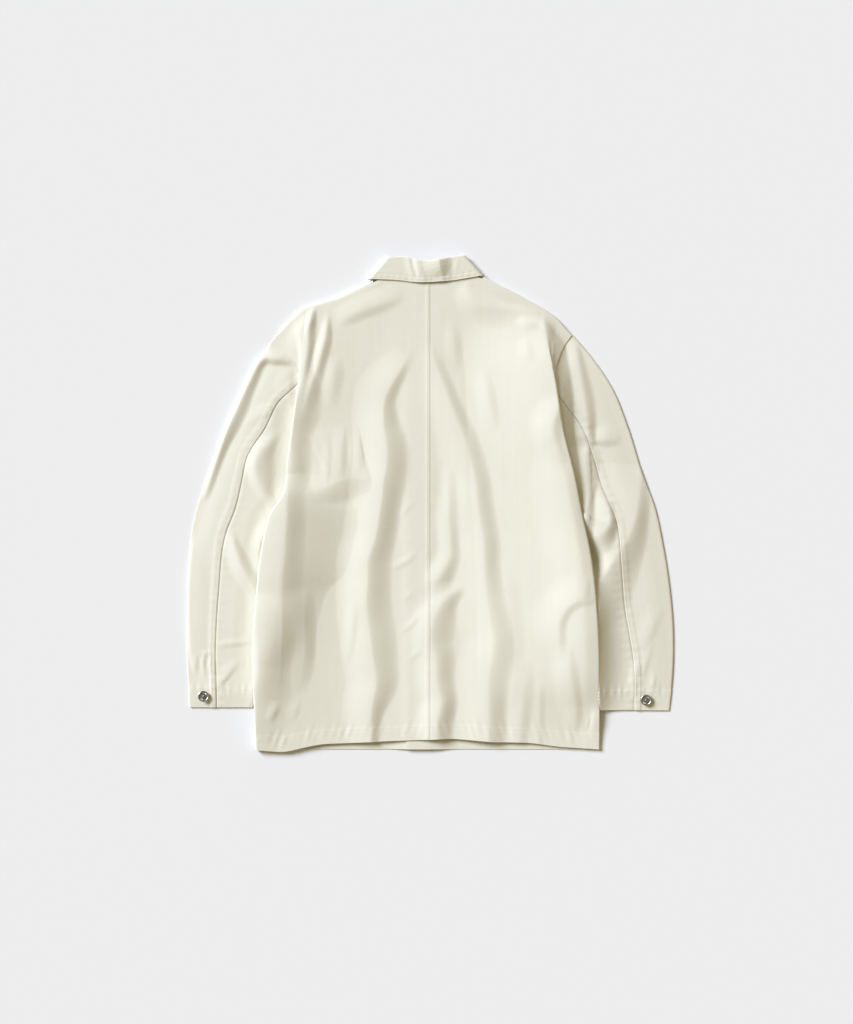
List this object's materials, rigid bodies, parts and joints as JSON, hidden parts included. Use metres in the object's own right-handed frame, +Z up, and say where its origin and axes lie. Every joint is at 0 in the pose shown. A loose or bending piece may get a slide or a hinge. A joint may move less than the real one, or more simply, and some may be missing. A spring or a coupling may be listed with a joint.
{
  "type": "chore jacket",
  "caption": "Long-sleeved cotton twill work jacket with a small fold-over collar, laid flat on its buttoned front with the sleeves drawn down beside the body.",
  "frame": {"origin": "on the floor, under the middle of the jacket's box; the centre back seam runs through it", "axes": "+X to the wearer's right, +Y from the hem to the collar, +Z up out of the floor, through the back"},
  "size_m": [0.7797, 0.7922, 0.0296],
  "materials": {
    "cotton_twill": "undyed cotton twill, soft and slightly lustrous",
    "button_steel": "worn satin metal, darker in its recesses"
  },
  "bodies": {
    "root": {"back_left": "cotton_twill", "back_right": "cotton_twill", "front_left": "cotton_twill", "front_right": "cotton_twill", "left_top_sleeve": "cotton_twill", "left_under_sleeve": "cotton_twill", "right_top_sleeve": "cotton_twill", "right_under_sleeve": "cotton_twill", "collar": "cotton_twill", "cuff_button_left": "button_steel", "cuff_button_right": "button_steel", "front_button_1": "button_steel", "front_button_2": "button_steel", "front_button_3": "button_steel", "front_button_4": "button_steel", "front_button_5": "button_steel"}
  },
  "joints": []
}
